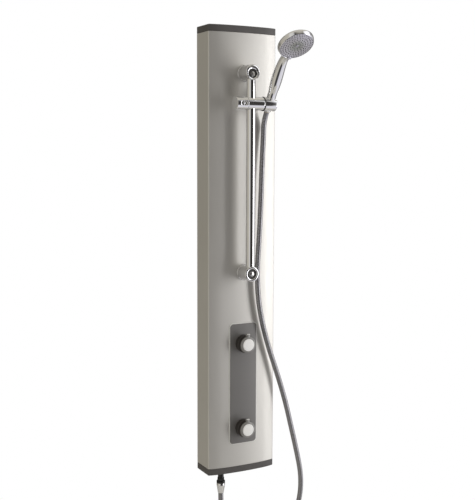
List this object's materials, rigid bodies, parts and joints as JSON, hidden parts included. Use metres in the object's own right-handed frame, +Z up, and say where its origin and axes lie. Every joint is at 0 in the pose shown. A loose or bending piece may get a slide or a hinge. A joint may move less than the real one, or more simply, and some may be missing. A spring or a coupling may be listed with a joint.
{
  "type": "thermostatic shower panel",
  "caption": "Wall-hung shower panel: bowed metal housing, riser rail with sliding tilting holder, round handset, hose, and a plate with temperature and flow knobs.",
  "frame": {"origin": "centre of the four wall fixing holes, on the wall plane", "axes": "+X to the right seen from the front, +Y into the wall, +Z up"},
  "size_m": [0.2951, 0.2903, 1.4256],
  "materials": {
    "satin_aluminium": "satin anodised",
    "cap_plastic": "fine matt",
    "steel_sheet": "zinc plated",
    "chromed_brass": "polished",
    "chromed_plastic": "bright chrome plate",
    "stainless": "turned",
    "dark_insert": "matt",
    "dark_ring": "matt",
    "nylon": "matt",
    "dark_plate": "satin",
    "foam": "closed cell",
    "knob_dark": "satin",
    "knob_grey": "satin",
    "brass_part": "machined",
    "spray_plastic": "satin",
    "nozzle_rubber": "matt",
    "black_fitting": "satin",
    "washer_rubber": "matt",
    "hose_skin": "silver spiral under clear"
  },
  "bodies": {
    "panel": {"housing_profile": "satin_aluminium", "top_end_cap": "cap_plastic", "bottom_end_cap": "cap_plastic", "upper_wall_bracket": "steel_sheet", "lower_wall_bracket": "steel_sheet", "upper_rail_post": "chromed_brass", "lower_rail_post": "chromed_brass", "post_flanges": "chromed_brass", "post_dish_inserts": "dark_insert", "post_bolts": "stainless", "post_nuts": "stainless", "rail_tube": "chromed_brass", "rail_end_plugs": "brass_part", "control_plate": "dark_plate", "plate_foam": "foam", "temperature_knob_collar": "knob_dark", "temperature_cartridge": "brass_part", "temperature_cartridge_nut": "brass_part", "flow_knob_collar": "knob_dark", "flow_cartridge": "brass_part", "flow_cartridge_nut": "brass_part", "flow_valve_body": "brass_part", "mixer_body": "brass_part", "inlet_filters": "stainless", "inlet_check_valves": "nylon", "mixed_water_pipe": "stainless", "outlet_pipe": "stainless", "outlet_nipple": "black_fitting", "outlet_lock_nut": "brass_part", "outlet_shroud": "black_fitting", "outlet_washer": "washer_rubber", "lower_hose_nut": "chromed_brass", "lower_hose_tail": "brass_part", "lower_hose_washer": "washer_rubber", "shower_hose": "hose_skin"},
    "slider": {"slider_body": "chromed_plastic", "brake_shoe": "nylon", "friction_ring": "dark_ring", "holder_pivot_pin": "stainless"},
    "clamp_knob_body": {"clamp_knob": "chromed_plastic", "clamp_knob_stud": "chromed_plastic", "clamp_screw": "stainless"},
    "holder": {"handset_holder": "chromed_plastic"},
    "hose_end": {"upper_hose_nut": "chromed_brass", "upper_hose_tail": "brass_part", "upper_hose_washer": "washer_rubber"},
    "handset": {"handset_shell": "chromed_plastic", "handset_nipple": "nylon", "handset_water_tube": "nylon", "spray_chamber": "nylon", "spray_face": "spray_plastic", "spray_nozzles": "nozzle_rubber", "face_centre_cap": "spray_plastic"},
    "dial": {"spray_dial": "chromed_plastic"},
    "temperature_knob": {"temperature_knob_grip": "knob_grey", "temperature_knob_disc": "chromed_plastic", "temperature_spindle": "brass_part"},
    "flow_knob": {"flow_knob_grip": "knob_grey", "flow_knob_disc": "chromed_plastic", "flow_spindle": "brass_part"}
  },
  "joints": [
    {"name": "slider_slide", "type": "slide", "parent": "panel", "child": "slider", "axis": [0, 0, 1], "range_m": [-0.4, 0.036], "deforming": ["shower_hose"]},
    {"name": "clamp_turn", "type": "hinge", "parent": "slider", "child": "clamp_knob_body", "pos_m": [-0.03, -0.117, 0.397], "axis": [1, 0, 0], "range_deg": [0, 90]},
    {"name": "holder_tilt", "type": "hinge", "parent": "slider", "child": "holder", "pos_m": [0.054, -0.117, 0.397], "axis": [1, 0, 0], "range_deg": [-22, 4], "deforming": ["shower_hose"]},
    {"name": "handset_lift", "type": "slide", "parent": "holder", "child": "hose_end", "axis": [0, -0.5373, 0.8434], "range_m": [0, 0.035], "deforming": ["shower_hose"]},
    {"name": "handset_swivel", "type": "hinge", "parent": "hose_end", "child": "handset", "pos_m": [0.054, -0.117, 0.397], "axis": [0, -0.5373, 0.8434], "continuous": true},
    {"name": "spray_select", "type": "hinge", "parent": "handset", "child": "dial", "pos_m": [0.054, -0.25417, 0.53229], "axis": [0, -0.585, -0.8111], "range_deg": [-40, 40]},
    {"name": "temperature_turn", "type": "hinge", "parent": "panel", "child": "temperature_knob", "pos_m": [0, -0.081, -0.242], "axis": [0, 1, 0], "range_deg": [-120, 60]},
    {"name": "flow_turn", "type": "hinge", "parent": "panel", "child": "flow_knob", "pos_m": [0, -0.081, -0.475], "axis": [0, 1, 0], "range_deg": [0, 90]}
  ]
}
